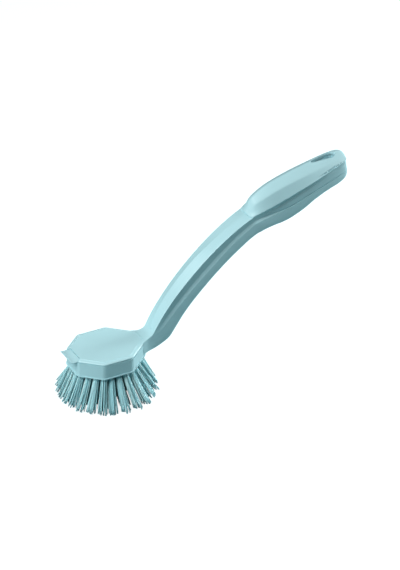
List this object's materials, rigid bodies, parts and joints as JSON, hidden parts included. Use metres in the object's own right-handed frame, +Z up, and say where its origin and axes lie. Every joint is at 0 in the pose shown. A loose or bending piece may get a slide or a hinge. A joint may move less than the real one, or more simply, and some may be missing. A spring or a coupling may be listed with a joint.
{
  "type": "sink brush",
  "caption": "Sink brush with an eight-sided tufted head, a front scraper lip, a curved neck and a padded grip with a hanging eye.",
  "frame": {"origin": "centre of the head's flat top face", "axes": "+X runs from the head to the end of the grip, +Z is up out of the head's top, and the bristles point to -Z"},
  "size_m": [0.2568, 0.0846, 0.1669],
  "materials": {
    "moulded_plastic": "satin",
    "pad_plastic": "satin",
    "bristle_plastic": "satin"
  },
  "bodies": {
    "root": {"handle_body": "moulded_plastic", "grip_pad": "pad_plastic", "tuft_outer_01": "bristle_plastic", "tuft_outer_02": "bristle_plastic", "tuft_outer_03": "bristle_plastic", "tuft_outer_04": "bristle_plastic", "tuft_outer_05": "bristle_plastic", "tuft_outer_06": "bristle_plastic", "tuft_outer_07": "bristle_plastic", "tuft_outer_08": "bristle_plastic", "tuft_outer_09": "bristle_plastic", "tuft_outer_10": "bristle_plastic", "tuft_outer_11": "bristle_plastic", "tuft_outer_12": "bristle_plastic", "tuft_outer_13": "bristle_plastic", "tuft_outer_14": "bristle_plastic", "tuft_outer_15": "bristle_plastic", "tuft_outer_16": "bristle_plastic", "tuft_outer_17": "bristle_plastic", "tuft_outer_18": "bristle_plastic", "tuft_outer_19": "bristle_plastic", "tuft_outer_20": "bristle_plastic", "tuft_outer_21": "bristle_plastic", "tuft_outer_22": "bristle_plastic", "tuft_outer_23": "bristle_plastic", "tuft_outer_24": "bristle_plastic", "tuft_outer_25": "bristle_plastic", "tuft_outer_26": "bristle_plastic", "tuft_middle_01": "bristle_plastic", "tuft_middle_02": "bristle_plastic", "tuft_middle_03": "bristle_plastic", "tuft_middle_04": "bristle_plastic", "tuft_middle_05": "bristle_plastic", "tuft_middle_06": "bristle_plastic", "tuft_middle_07": "bristle_plastic", "tuft_middle_08": "bristle_plastic", "tuft_middle_09": "bristle_plastic", "tuft_middle_10": "bristle_plastic", "tuft_middle_11": "bristle_plastic", "tuft_middle_12": "bristle_plastic", "tuft_middle_13": "bristle_plastic", "tuft_middle_14": "bristle_plastic", "tuft_middle_15": "bristle_plastic", "tuft_middle_16": "bristle_plastic", "tuft_middle_17": "bristle_plastic", "tuft_inner_01": "bristle_plastic", "tuft_inner_02": "bristle_plastic", "tuft_inner_03": "bristle_plastic", "tuft_inner_04": "bristle_plastic", "tuft_inner_05": "bristle_plastic", "tuft_inner_06": "bristle_plastic", "tuft_inner_07": "bristle_plastic", "tuft_inner_08": "bristle_plastic", "tuft_inner_09": "bristle_plastic", "tuft_centre_01": "bristle_plastic"}
  },
  "joints": []
}
